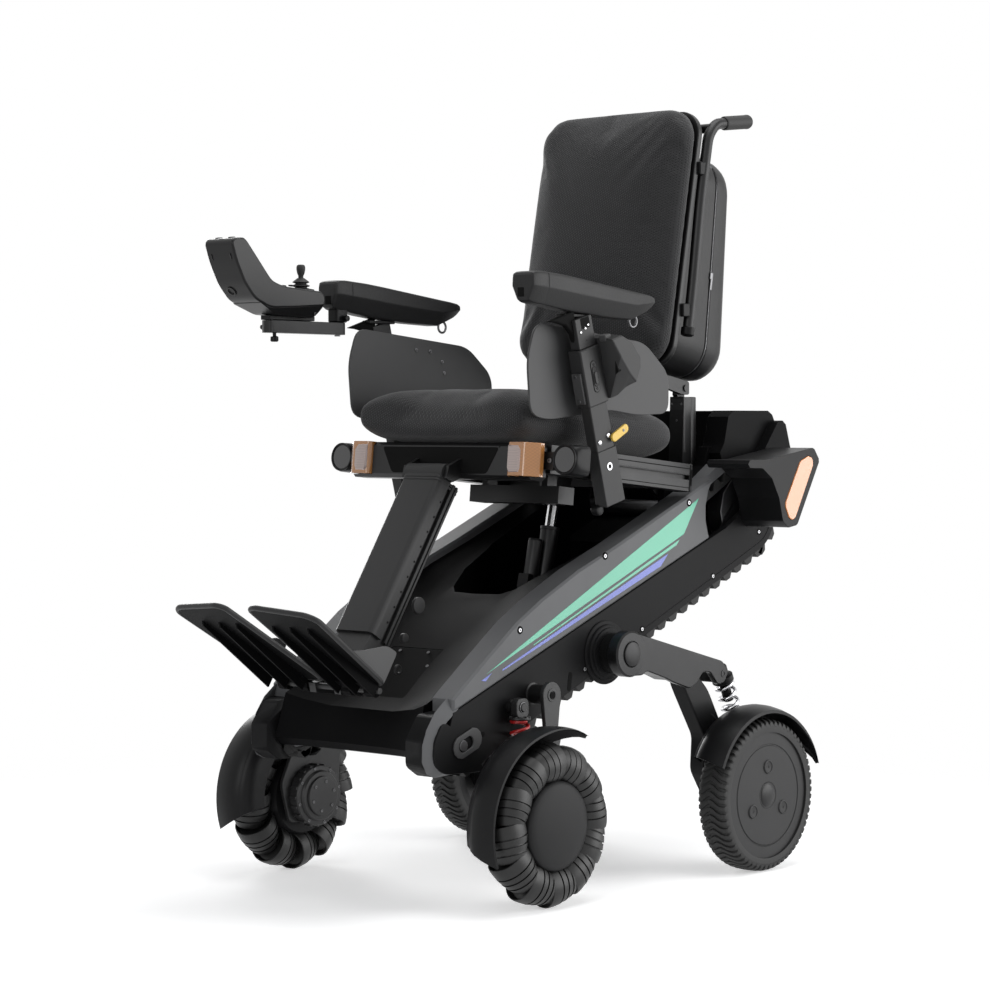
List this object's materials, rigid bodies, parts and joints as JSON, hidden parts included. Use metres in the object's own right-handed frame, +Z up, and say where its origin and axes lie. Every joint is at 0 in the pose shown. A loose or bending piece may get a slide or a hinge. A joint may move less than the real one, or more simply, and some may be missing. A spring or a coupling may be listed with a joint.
{
  "type": "stair climbing wheelchair",
  "caption": "Powered wheelchair with omni wheels in front, sprung swing arms behind, toothed tracks along its sides for stairs, a tilting seat, reclining back and joystick.",
  "frame": {"origin": "middle of the bounding box in plan, on the ground under the wheels", "axes": "+X the seated person's left, +Y to the rear, +Z up; the chair faces -Y"},
  "size_m": [0.666, 1.1336, 1.276],
  "materials": {
    "amber_lens": "gloss",
    "bag_cover": "matte",
    "black_metal": "satin",
    "black_shell": "satin",
    "dark_shell": "satin",
    "grey_metal": "satin",
    "grey_shell": "satin",
    "lamp_black": "gloss",
    "mesh_fabric": "matte",
    "orange_reflector": "gloss",
    "red_spring": "gloss",
    "rubber": "matte",
    "silver_spring": "satin",
    "steel": "satin",
    "tyre": "matte",
    "yellow_lever": "satin"
  },
  "bodies": {
    "chassis": {"body_shell": "dark_shell", "front_hatch": "dark_shell", "rear_housing": "dark_shell", "side_panel_left": "grey_shell", "side_panel_right": "grey_shell", "track_plate_left": "dark_shell", "track_plate_right": "dark_shell", "track_belt_left": "rubber", "track_belt_right": "rubber", "tension_plate_left": "steel", "tension_plate_right": "steel", "tail_unit_left": "black_shell", "tail_unit_right": "black_shell", "tail_lens_left": "orange_reflector", "tail_lens_right": "orange_reflector", "front_spring_left": "red_spring", "front_spring_right": "red_spring"},
    "drive_shaft": {"drive_shaft": "black_metal"},
    "idler_shaft": {"idler_shaft": "black_metal"},
    "seat": {"seat_frame": "black_metal", "seat_cushion": "mesh_fabric", "headlamp_left": "lamp_black", "headlamp_right": "lamp_black", "corner_lamp_left": "amber_lens", "corner_lamp_right": "amber_lens", "armrest_post_left": "black_metal", "armrest_post_right": "black_metal"},
    "lift_tube": {"lift_tube": "black_metal"},
    "lift_rod": {"lift_rod": "steel"},
    "backrest": {"backrest_shell": "black_metal", "backrest_cushion": "mesh_fabric", "storage_pod": "bag_cover"},
    "controller": {"controller_link": "black_metal", "controller": "black_shell"},
    "joystick_gimbal": {"joystick_gimbal": "grey_metal"},
    "joystick": {"joystick": "rubber"},
    "legrest_post": {"legrest_post": "black_metal"},
    "legrest_carriage": {"legrest_carriage": "grey_metal"},
    "front_leg_left": {"front_leg_left": "black_metal"},
    "omni_wheel_left": {"omni_wheel_left": "rubber"},
    "swing_arm_left": {"swing_arm_left": "black_metal", "rear_spring_left": "silver_spring"},
    "rear_strut_left": {"rear_strut_left": "black_metal"},
    "rear_wheel_left": {"rear_wheel_left": "black_metal", "rear_tyre_left": "tyre"},
    "armrest_pad_left": {"armrest_pad_left": "black_shell"},
    "armrest_button_left": {"armrest_button_left": "black_shell"},
    "lock_lever_left": {"lock_lever_left": "yellow_lever"},
    "footplate_left": {"footplate_left": "black_shell"},
    "front_leg_right": {"front_leg_right": "black_metal"},
    "omni_wheel_right": {"omni_wheel_right": "rubber"},
    "swing_arm_right": {"swing_arm_right": "black_metal", "rear_spring_right": "silver_spring"},
    "rear_strut_right": {"rear_strut_right": "black_metal"},
    "rear_wheel_right": {"rear_wheel_right": "black_metal", "rear_tyre_right": "tyre"},
    "armrest_pad_right": {"armrest_pad_right": "black_shell"},
    "armrest_button_right": {"armrest_button_right": "black_shell"},
    "lock_lever_right": {"lock_lever_right": "yellow_lever"},
    "footplate_right": {"footplate_right": "black_shell"}
  },
  "joints": [
    {"name": "front_leg_left_swing", "type": "hinge", "parent": "chassis", "child": "front_leg_left", "pos_m": [0.236, -0.1198, 0.318], "axis": [1, 0, 0], "range_deg": [-6, 0], "stiffness_Nm_per_rad": 60, "springref_deg": 22.92, "deforming": ["front_spring_left"]},
    {"name": "omni_wheel_left_roll", "type": "hinge", "parent": "front_leg_left", "child": "omni_wheel_left", "pos_m": [0.2827, -0.1818, 0.127], "axis": [1, 0, 0], "continuous": true},
    {"name": "front_leg_right_swing", "type": "hinge", "parent": "chassis", "child": "front_leg_right", "pos_m": [-0.236, -0.1198, 0.318], "axis": [1, 0, 0], "range_deg": [-6, 0], "stiffness_Nm_per_rad": 60, "springref_deg": 22.92, "deforming": ["front_spring_right"]},
    {"name": "omni_wheel_right_roll", "type": "hinge", "parent": "front_leg_right", "child": "omni_wheel_right", "pos_m": [-0.2827, -0.1818, 0.127], "axis": [1, 0, 0], "continuous": true},
    {"name": "swing_arm_left_swing", "type": "hinge", "parent": "chassis", "child": "swing_arm_left", "pos_m": [0.235, 0.0545, 0.372], "axis": [1, 0, 0], "range_deg": [-10, 45]},
    {"name": "rear_strut_left_swing", "type": "hinge", "parent": "swing_arm_left", "child": "rear_strut_left", "pos_m": [0.23, 0.2132, 0.33], "axis": [1, 0, 0], "range_deg": [0, 5], "stiffness_Nm_per_rad": 200, "springref_deg": -17.19, "deforming": ["rear_spring_left"]},
    {"name": "rear_wheel_left_roll", "type": "hinge", "parent": "rear_strut_left", "child": "rear_wheel_left", "pos_m": [0.3, 0.3232, 0.126], "axis": [1, 0, 0], "continuous": true},
    {"name": "swing_arm_right_swing", "type": "hinge", "parent": "chassis", "child": "swing_arm_right", "pos_m": [-0.235, 0.0545, 0.372], "axis": [1, 0, 0], "range_deg": [-10, 45]},
    {"name": "rear_strut_right_swing", "type": "hinge", "parent": "swing_arm_right", "child": "rear_strut_right", "pos_m": [-0.23, 0.2132, 0.33], "axis": [1, 0, 0], "range_deg": [0, 5], "stiffness_Nm_per_rad": 200, "springref_deg": -17.19, "deforming": ["rear_spring_right"]},
    {"name": "rear_wheel_right_roll", "type": "hinge", "parent": "rear_strut_right", "child": "rear_wheel_right", "pos_m": [-0.3, 0.3232, 0.126], "axis": [1, 0, 0], "continuous": true},
    {"name": "track_drive", "type": "hinge", "parent": "chassis", "child": "drive_shaft", "pos_m": [0, 0.4402, 0.59], "axis": [1, 0, 0], "continuous": true},
    {"name": "track_idler", "type": "hinge", "parent": "chassis", "child": "idler_shaft", "pos_m": [0, -0.2818, 0.25], "axis": [1, 0, 0], "continuous": true},
    {"name": "seat_tilt", "type": "hinge", "parent": "chassis", "child": "seat", "pos_m": [0, 0.2882, 0.628], "axis": [-1, 0, 0], "range_deg": [-1, 12]},
    {"name": "lift_tube_tilt", "type": "hinge", "parent": "chassis", "child": "lift_tube", "pos_m": [0, 0.1232, 0.445], "axis": [1, 0, 0], "range_deg": [-0.15, 1.84]},
    {"name": "lift_stroke", "type": "slide", "parent": "lift_tube", "child": "lift_rod", "axis": [0, 0.2163, 0.9763], "range_m": [-0.00219, 0.02631]},
    {"name": "backrest_recline", "type": "hinge", "parent": "seat", "child": "backrest", "pos_m": [0, 0.3662, 0.8], "axis": [-1, 0, 0], "range_deg": [-5, 20]},
    {"name": "armrest_left_height", "type": "slide", "parent": "seat", "child": "armrest_pad_left", "axis": [0, -0.2588, 0.9659], "range_m": [0, 0.08]},
    {"name": "armrest_button_left_press", "type": "slide", "parent": "seat", "child": "armrest_button_left", "axis": [-1, 0, 0], "range_m": [0, 0.003], "stiffness_N_per_m": 400, "springref_m": -0.002},
    {"name": "lock_lever_left_turn", "type": "hinge", "parent": "seat", "child": "lock_lever_left", "pos_m": [0.232, 0.0262, 0.715], "axis": [1, 0, 0], "range_deg": [0, 40]},
    {"name": "armrest_right_height", "type": "slide", "parent": "seat", "child": "armrest_pad_right", "axis": [0, -0.2588, 0.9659], "range_m": [0, 0.08]},
    {"name": "armrest_button_right_press", "type": "slide", "parent": "seat", "child": "armrest_button_right", "axis": [1, 0, 0], "range_m": [0, 0.003], "stiffness_N_per_m": 400, "springref_m": -0.002},
    {"name": "lock_lever_right_turn", "type": "hinge", "parent": "seat", "child": "lock_lever_right", "pos_m": [-0.232, 0.0262, 0.715], "axis": [1, 0, 0], "range_deg": [0, 40]},
    {"name": "controller_swing", "type": "hinge", "parent": "armrest_pad_right", "child": "controller", "pos_m": [-0.212, -0.1418, 0.906], "axis": [0, 0, -1], "range_deg": [0, 90]},
    {"name": "joystick_fore_aft", "type": "hinge", "parent": "controller", "child": "joystick_gimbal", "pos_m": [-0.212, -0.2248, 0.95], "axis": [1, 0, 0], "range_deg": [-15, 15], "stiffness_Nm_per_rad": 0.08},
    {"name": "joystick_side", "type": "hinge", "parent": "joystick_gimbal", "child": "joystick", "pos_m": [-0.212, -0.2248, 0.95], "axis": [0, 1, 0], "range_deg": [-15, 15], "stiffness_Nm_per_rad": 0.08},
    {"name": "legrest_lift", "type": "hinge", "parent": "seat", "child": "legrest_post", "pos_m": [0, -0.1443, 0.66], "axis": [-1, 0, 0], "range_deg": [0, 50]},
    {"name": "legrest_extend", "type": "slide", "parent": "legrest_post", "child": "legrest_carriage", "axis": [0, -0.5446, -0.8387], "range_m": [0, 0.06]},
    {"name": "footplate_left_fold", "type": "hinge", "parent": "legrest_carriage", "child": "footplate_left", "pos_m": [0.07, -0.3703, 0.334], "axis": [-1, 0, 0], "range_deg": [0, 45]},
    {"name": "footplate_right_fold", "type": "hinge", "parent": "legrest_carriage", "child": "footplate_right", "pos_m": [-0.07, -0.3703, 0.334], "axis": [-1, 0, 0], "range_deg": [0, 45]}
  ],
  "couplings": [
    {"joint": "track_idler", "follows": "track_drive", "ratio": 2.1221},
    {"joint": "lift_tube_tilt", "follows": "seat_tilt", "ratio": 0.1536},
    {"joint": "lift_stroke", "follows": "seat_tilt", "m_per_rad": 0.1256}
  ]
}
